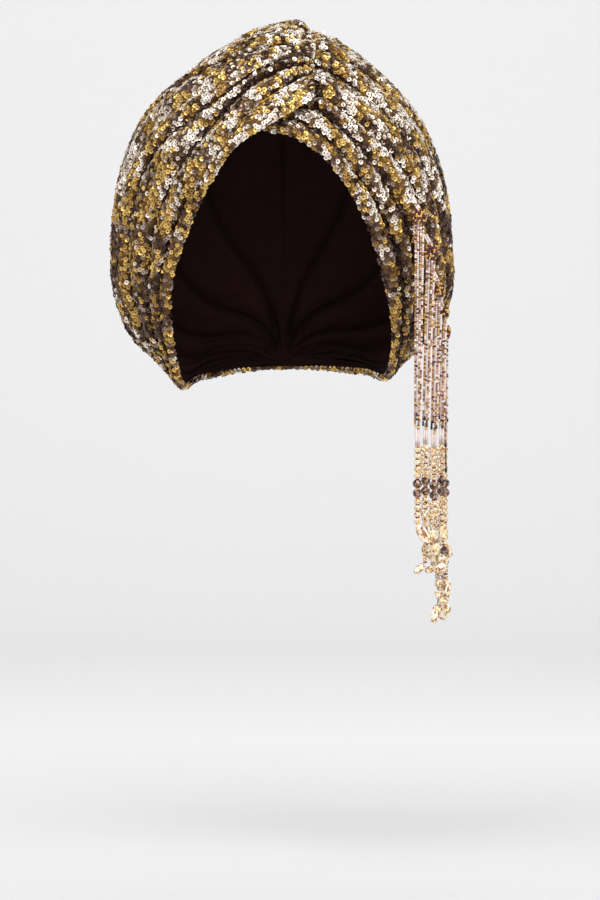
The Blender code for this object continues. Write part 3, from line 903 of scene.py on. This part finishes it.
def tassel(number, row, draw):
    """One tassel: its seed beads, the core and threads that carry them, and its long beads."""
    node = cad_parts[f"tassel_{number}"]
    corners = vectors_of(node.data.vertices, "co")
    heights = corners[:, 2]
    foot = Vector(corners[heights < heights.min() + FOOT_BAND].mean(0))
    head = Vector((row.head_x * MM, foot.y - HEAD_AHEAD, row.head_z * MM))
    top = Vector(corners[heights.argmax()])
    head_top = head + Vector((0, 0, HEAD_HEIGHT / 2))
    beads = head_beads(head, draw)
    threads = bmesh.new()
    core = Vector((HEAD_RADIUS, HEAD_RADIUS, HEAD_HEIGHT / 2)) * CORE_SHARE
    placed = Matrix.LocRotScale(head, None, core)
    bmesh.ops.create_uvsphere(threads, u_segments=12, v_segments=8, radius=1, matrix=placed)
    pair = (Vector((-PAIR_HALF, 0, 0)), Vector((PAIR_HALF, 0, 0)))
    for side in pair:
        start, end = head_top + side, top + side
        for spot, way in beads_along(start, end, SEED_LENGTH):
            beads.append((spot, turn_to(way), draw.choice(LOOP_TONES, p=LOOP_SHARES)))
        add_thread(threads, start, end)
    long_top = foot + Vector((0, 0, LONG_BEAD_LENGTH))
    for strand in STRAND_ROWS:
        aside = Vector((strand.aside, strand.ahead, 0))
        start = head + aside * STRAND_SPREAD - Vector((0, 0, core.z))
        lift = strand.lift_mm + draw.uniform(-LIFT_SPREAD_MM, LIFT_SPREAD_MM)
        end = long_top + aside * STRAND_CLOSE + Vector((0, 0, lift * MM))
        beads += strand_beads(start, end, strand.clear, DARK_SHARE, draw)
        add_thread(threads, start, end)
    if number == len(TASSEL_ROWS):
        start = long_top - Vector((0, STRAY_AHEAD, 0))
        end = start + Vector((STRAY_SHIFT, 0, -STRAY_DROP))
        beads += strand_beads(start, end, 0.0, STRAY_DARK, draw)
        add_thread(threads, start, end)
    long_beads = bmesh.new()
    for side in pair:
        rod(long_beads, long_top + side, foot + side, LONG_BEAD_RADIUS, LONG_BEAD_SIDES)
    places = np.array([spot[:] for spot, _, _ in beads])
    turns = np.array([turn for _, turn, _ in beads])
    tones = np.array([tone for _, _, tone in beads])
    made = set_out(f"tassel_beads_{number}", seed_pattern, places, turns, tones, seed_glass)
    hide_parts(f"tassel_{number}")
    keep(f"tassel_threads_{number}", threads, thread_fibre)
    keep(f"long_beads_{number}", long_beads, long_bead_glass, smooth=True)


seed_pattern = as_arrays(barrel_shape(SEED_RADIUS, SEED_LENGTH, SEED_HOLE, SEED_SIDES))
seed_glass = seed_material()
thread_fibre = mottled_material(
    "beading thread", {"Roughness": 0.6}, THREAD_TWIST, THREAD_DARK, THREAD_LIGHT
)
facets = facets_group()
long_bead_glass = glass_material(
    "rose clear glass", LONG_BEAD_TONES, roughness=0.15, transmission=0.5
)
for number, row in enumerate(TASSEL_ROWS, 1):
    tassel(number, row, np.random.default_rng(TASSEL_SEED + number))

# The strings of beads
# Faceted glass beads threaded below each tassel: gold-lined ones 4 mm across, a pair of smoky
# ones 6 mm across, and small gold ones between the drops. Rose seed beads sit between them.
BeadRow = namedtuple("BeadRow", "kind width length")
GOLD_BEAD = BeadRow("gold", 4.3 * MM, 3.9 * MM)
SMOKE_BEAD = BeadRow("smoke", 6.1 * MM, 5.6 * MM)
SMALL_BEAD = BeadRow("small", 3.0 * MM, 2.6 * MM)
BEAD_STRETCH = 1.02
SPIN_RANGE = (0, 6.28)
NAME_WEIGHT = 7
SPACER_SCALE = (1.9, 1.9, 0.7)
SPACER_TONES = (ROSE, GARNET, GARNET, GOLD)
LINING_RADIUS, LINING_SIDES = 0.6 * MM, 8
LINING_DARK, LINING_LIGHT = (0.45, 0.24, 0.06, 1), (0.95, 0.66, 0.26, 1)
LINING_GRAIN = 1200.0
# Gold-lined glass: the gold tones are its own colour, the dark brown and near white facets are
# painted reflections and highlights.
GOLD_TINTS_AND_PAINTED_GLINTS = (
    (0.38, (0.28, 0.05, 0.03, 1)),
    (0.44, (0.86, 0.48, 0.07, 1)),
    (0.50, (0.97, 0.76, 0.32, 1)),
    (0.545, (1.0, 0.98, 0.92, 1)),
)
# Smoky glass: the dark and brown tones are its own colour, the pale facets are painted highlights.
SMOKE_TINTS_AND_PAINTED_GLINTS = (
    (0.40, (0.020, 0.010, 0.008, 1)),
    (0.50, (0.12, 0.065, 0.045, 1)),
    (0.57, (0.45, 0.21, 0.13, 1)),
    (0.64, (0.80, 0.60, 0.46, 1)),
)


def faceted_bead(shape, centre, bead, spin):
    """A bead cut with flat facets all round, added to a shape."""
    size = Vector((bead.width, bead.width, bead.length * BEAD_STRETCH)) / 2
    turn = Matrix.Rotation(spin, 3, "Z").to_quaternion()
    placed = Matrix.LocRotScale(centre, turn, size)
    bmesh.ops.create_icosphere(shape, subdivisions=2, radius=1, matrix=placed)


def string_of_beads(node, bead, glass, draw):
    """Faceted beads in the place of one string, their lining, and a seed bead at each joint."""
    low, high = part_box(node)
    count = max(round((high.z - low.z) / bead.length), 1)
    middle = Vector(((low.x + high.x) / 2, (low.y + high.y) / 2, 0))
    shape = bmesh.new()
    lining = bmesh.new()
    for k in range(count):
        centre = middle + Vector((0, 0, high.z - (k + 0.5) * bead.length))
        faceted_bead(shape, centre, bead, draw.uniform(*SPIN_RANGE))
    top, foot = (middle + Vector((0, 0, end.z)) for end in (high, low))
    rod(lining, top, foot, LINING_RADIUS, LINING_SIDES)
    joints = np.array([top - Vector((0, 0, k * bead.length)) for k in range(count + 1)])
    turns = np.array([np.diag(SPACER_SCALE)] * len(joints))
    tones = draw.choice(SPACER_TONES, len(joints))
    spacers = set_out(
        node.replace("bead", "spacer_of_bead"), seed_pattern, joints, turns, tones, seed_glass
    )
    beads = keep(node.replace("bead", "cut_bead"), shape, glass)
    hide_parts(node)
    keep(node.replace("bead", "lining_of_bead"), lining, gold_lining)


gold_lining = mottled_material(
    "gold lining", {"Metallic": 1.0, "Roughness": 0.3}, LINING_GRAIN, LINING_DARK, LINING_LIGHT
)
gold_glass = glass_material("gold bead glass", GOLD_TINTS_AND_PAINTED_GLINTS, roughness=0.03, transmission=0.3)
smoke_glass = glass_material("smoke bead glass", SMOKE_TINTS_AND_PAINTED_GLINTS, roughness=0.03, transmission=0.4)
for name in sorted(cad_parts):
    draw = np.random.default_rng(len(name) * NAME_WEIGHT + sum(map(ord, name)))
    if name.startswith("gold_beads"):
        string_of_beads(name, GOLD_BEAD, gold_glass, draw)
    elif name.startswith("smoke_bead"):
        string_of_beads(name, SMOKE_BEAD, smoke_glass, draw)
    elif name.startswith("small_beads"):
        string_of_beads(name, SMALL_BEAD, gold_glass, draw)

# The drops
# Cut crystal leaves of a pale champagne colour, hung by their tips at the strings' ends.
# Champagne crystal: the pale gold tones are its colour, the dark brown and near white facets are
# painted reflections and highlights.
CRYSTAL_TINTS_AND_PAINTED_GLINTS = (
    (0.39, (0.33, 0.11, 0.07, 1)),
    (0.45, (0.82, 0.57, 0.22, 1)),
    (0.51, (0.94, 0.80, 0.44, 1)),
    (0.56, (1.0, 0.96, 0.86, 1)),
)
POINTED = 0.8


def pointed_drop(shape, placed, sizes):
    """A cut drop with two points, added to a shape at a place, from its half sizes."""
    made = bmesh.ops.create_icosphere(shape, subdivisions=2, radius=1)
    for vert in made["verts"]:
        vert.co.x = math.copysign(abs(vert.co.x) ** POINTED, vert.co.x)
        vert.co = placed @ Vector(part * size for part, size in zip(vert.co, sizes))


def cut_leaf(node, crystal):
    """A leaf with small facets all over, in the place, lean and size of a plain one."""
    corners = vectors_of(node.data.vertices, "co")
    middle = (corners.max(0) + corners.min(0)) / 2
    axes = np.linalg.svd(corners - corners.mean(0), full_matrices=False)[2]
    if np.linalg.det(axes) < 0:
        axes[2] *= -1
    own = (corners - middle) @ axes.T
    sizes = (own.max(0) - own.min(0)) / 2
    turn = Matrix(axes.T.tolist()).to_4x4()
    shape = bmesh.new()
    pointed_drop(shape, Matrix.Translation(middle.tolist()) @ turn, sizes.tolist())
    made = keep(node.name.replace("leaf", "cut_leaf"), shape, crystal)
    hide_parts(node.name)


crystal = glass_material("champagne crystal", CRYSTAL_TINTS_AND_PAINTED_GLINTS, roughness=0.02, transmission=0.25)
for name in sorted(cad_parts):
    if name.startswith("leaf_drop"):
        cut_leaf(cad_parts[name], crystal)

# The filling strings
# Finer threads of mixed small cut beads that hang among the five strings and thicken them, and
# loose crystal drops on short threads of their own that fill the cluster at the foot.
FillRow = namedtuple("FillRow", "x y top_z low_z")
FILL_ROWS = (
    FillRow(85.7, -53.5, -257.5, -277.0),
    FillRow(91.0, -41.5, -258.0, -278.0),
    FillRow(96.5, -27.5, -257.0, -277.0),
    FillRow(85.9, -53.5, -290.0, -303.0),
    FillRow(91.2, -42.0, -290.5, -309.0),
    FillRow(96.6, -29.0, -290.0, -309.0),
    FillRow(92.6, -37.0, -309.0, -331.0),
    FillRow(95.8, -36.5, -314.0, -354.0),
    FillRow(98.6, -30.0, -327.0, -356.0),
)
FILL_SEED = 40
FILL_WIDTHS = (2.4, 3.8)
FILL_LENGTH_SHARE = 0.95
GOLD_CYCLE, GOLD_TURNS = 5, (0, 3)
FILL_PITCH = 2.7 * MM
FILL_SHIFT = 0.9 * MM
DropRow = namedtuple("DropRow", "x y z width length lean_deg")
DROP_ROWS = (
    DropRow(92.3, -43, -312.3, 5.0, 8.6, 12),
    DropRow(93.6, -45, -320.4, 7.0, 8.4, 8),
    DropRow(99.0, -41, -310.5, 4.6, 9.0, -8),
    DropRow(97.8, -42, -326.5, 4.6, 5.4, 20),
    DropRow(90.8, -42, -332.8, 4.4, 6.4, 65),
    DropRow(97.4, -44, -332.0, 6.2, 9.6, 62),
    DropRow(92.6, -41, -326.2, 4.8, 6.6, -30),
    DropRow(97.0, -42, -341.2, 4.2, 4.6, 0),
    DropRow(101.6, -38, -344.4, 4.8, 10.6, 6),
    DropRow(96.4, -42, -347.8, 4.6, 5.0, -20),
    DropRow(99.0, -43, -352.2, 5.0, 5.2, 15),
    DropRow(94.4, -41, -360.0, 6.0, 12.0, 14),
    DropRow(101.4, -40, -357.0, 4.6, 8.0, -12),
)
DROP_DEPTH_SHARE = 0.7
DROP_LINK = Vector((96.5, -36.5)) * MM
LINK_RISE = 3.0 * MM


def filling_string(number, row, draw):
    """Small cut beads of mixed sizes a little off one thread, some of gold and some of crystal."""
    shapes = {"gold": bmesh.new(), "crystal": bmesh.new()}
    thread = bmesh.new()
    start, end = Vector((row.x, row.y, row.top_z)) * MM, Vector((row.x, row.y, row.low_z)) * MM
    add_thread(thread, start, end)
    for k, (spot, _) in enumerate(beads_along(start, end, FILL_PITCH)):
        width = draw.uniform(*FILL_WIDTHS) * MM
        shift = Vector((draw.uniform(-1, 1), draw.uniform(-1, 1), 0)) * FILL_SHIFT
        bead = BeadRow("fill", width, width * FILL_LENGTH_SHARE)
        kind = "gold" if k % GOLD_CYCLE in GOLD_TURNS else "crystal"
        faceted_bead(shapes[kind], spot + shift, bead, draw.uniform(*SPIN_RANGE))
    keep(f"filling_thread_{number}", thread, thread_fibre)
    keep(f"filling_gold_{number}", shapes["gold"], gold_glass)
    keep(f"filling_crystal_{number}", shapes["crystal"], crystal)


def filling_drops():
    """Loose drops between the hung ones, each on a short thread of its own."""
    drops, threads = bmesh.new(), bmesh.new()
    for row in DROP_ROWS:
        centre = Vector((row.x, row.y, row.z)) * MM
        half = Vector((row.length, row.width, row.width * DROP_DEPTH_SHARE)) * MM / 2
        turn = Matrix.Rotation(math.radians(90 + row.lean_deg), 4, "Y")
        facing = Matrix.Rotation(math.pi / 2, 4, "X")
        pointed_drop(drops, Matrix.Translation(centre) @ turn @ facing, half)
        tip = centre - (turn @ Vector((half.x, 0, 0)))
        if tip.z < centre.z:
            tip = 2 * centre - tip
        add_thread(threads, tip, Vector((*DROP_LINK, tip.z + LINK_RISE)))
    keep("filling_drops", drops, crystal)
    keep("filling_drop_threads", threads, thread_fibre)


for number, row in enumerate(FILL_ROWS, 1):
    filling_string(number, row, np.random.default_rng(FILL_SEED + number))
filling_drops()

# The studio
# A pale sweep of paper under and behind the turban, a broad soft light above it to the front and
# a weaker one from each side, and a long lens level with the middle of the picture.
FLOOR_Z = -0.524
SWEEP_HALF_WIDTH = 4.0
SWEEP_FRONT, SWEEP_BEND, SWEEP_HEIGHT = -4.0, 2.4, 5.0
BEND_RADIUS = 1.2
BEND_STEPS = 12
FRONT_COLOUR, BACK_COLOUR = (0.66, 0.655, 0.658, 1), (0.83, 0.825, 0.827, 1)
GRADE_FRONT, GRADE_BACK = -0.2, 1.0
LightRow = namedtuple("LightRow", "name place aim width height power")
LIGHT_ROWS = (
    LightRow("key", (-0.3, -1.7, 1.7), (0, 0, -0.1), 2.2, 1.6, 62.0),
    LightRow("front", (0.3, -3.4, 0.6), (0, 0, -0.1), 2.4, 2.0, 26.0),
    LightRow("right side", (2.3, -1.4, 0.5), (0, 0, -0.12), 1.0, 1.6, 20.0),
    LightRow("left side", (-2.3, -1.6, 0.2), (0, 0, -0.15), 1.0, 1.6, 6.0),
    LightRow("backdrop", (0, 1.3, 2.2), (0, 3.2, -0.2), 3.0, 0.8, 21.0),
)
WORLD_COLOUR = (0.97, 0.98, 1.0, 1)
WORLD_STRENGTH = 0.5
PICTURE_HEIGHT_PX = 900
PX_PER_M = 1600.0
CAMERA_DISTANCE = 2.2
CENTRE_X, CENTRE_Z = 0.01125, -0.2595
SENSOR_MM = 36.0


def paper_sweep():
    """The floor and backdrop in one smooth sweep."""
    shape = bmesh.new()
    bend = [
        (
            SWEEP_BEND + BEND_RADIUS * math.sin(math.pi / 2 * k / BEND_STEPS),
            FLOOR_Z + BEND_RADIUS * (1 - math.cos(math.pi / 2 * k / BEND_STEPS)),
        )
        for k in range(BEND_STEPS + 1)
    ]
    outline = [(SWEEP_FRONT, FLOOR_Z), *bend, (SWEEP_BEND + BEND_RADIUS, SWEEP_HEIGHT)]
    corners = [shape.verts.new((-SWEEP_HALF_WIDTH, y, z)) for y, z in outline]
    edges = [shape.edges.new(pair) for pair in zip(corners, corners[1:])]
    moved = bmesh.ops.extrude_edge_only(shape, edges=edges)
    for item in moved["geom"]:
        if isinstance(item, bmesh.types.BMVert):
            item.co.x = SWEEP_HALF_WIDTH
    bmesh.ops.recalc_face_normals(shape, faces=shape.faces)
    mesh = bpy.data.meshes.new("paper_sweep")
    shape.to_mesh(mesh)
    shape.free()
    mesh.shade_smooth()
    paper, tree, shader = new_material("graded backdrop paper", {"Roughness": 0.9})
    place = new_node(tree, "TexCoord")
    apart = new_node(tree, "SeparateXYZ")
    back = new_node(tree, "MapRange", {"From Min": GRADE_FRONT, "From Max": GRADE_BACK})
    grade = new_node(tree, "Mix", {"A": FRONT_COLOUR, "B": BACK_COLOUR}, data_type="RGBA")
    join(tree, place, "Object", apart, "Vector")
    join(tree, apart, "Y", back, "Value")
    join(tree, back, "Result", grade, "Factor")
    join(tree, grade, "Result", shader, "Base Color")
    mesh.materials.append(paper)
    made = bpy.data.objects.new("paper_sweep", mesh)
    bpy.context.scene.collection.objects.link(made)


def soft_light(row):
    """A broad area light turned to its aim."""
    lamp = bpy.data.lights.new(row.name, "AREA")
    lamp.shape = "RECTANGLE"
    lamp.size, lamp.size_y = row.width, row.height
    lamp.energy = row.power
    made = bpy.data.objects.new(row.name, lamp)
    made.location = row.place
    made.rotation_euler = (Vector(row.aim) - Vector(row.place)).to_track_quat("-Z", "Y").to_euler()
    bpy.context.scene.collection.objects.link(made)


paper_sweep()
for row in LIGHT_ROWS:
    soft_light(row)
world = bpy.data.worlds.new("studio")
world.use_nodes = True
world.node_tree.nodes["Background"].inputs["Color"].default_value = WORLD_COLOUR
world.node_tree.nodes["Background"].inputs["Strength"].default_value = WORLD_STRENGTH
bpy.context.scene.world = world
lens = bpy.data.cameras.new("camera")
lens.sensor_width = SENSOR_MM
lens.lens = SENSOR_MM * CAMERA_DISTANCE * PX_PER_M / PICTURE_HEIGHT_PX
camera = bpy.data.objects.new("camera", lens)
camera.location = (CENTRE_X, -CAMERA_DISTANCE, CENTRE_Z)
camera.rotation_euler = (math.pi / 2, 0, 0)
bpy.context.scene.collection.objects.link(camera)
bpy.context.scene.camera = camera
bpy.context.scene.view_settings.view_transform = "Standard"
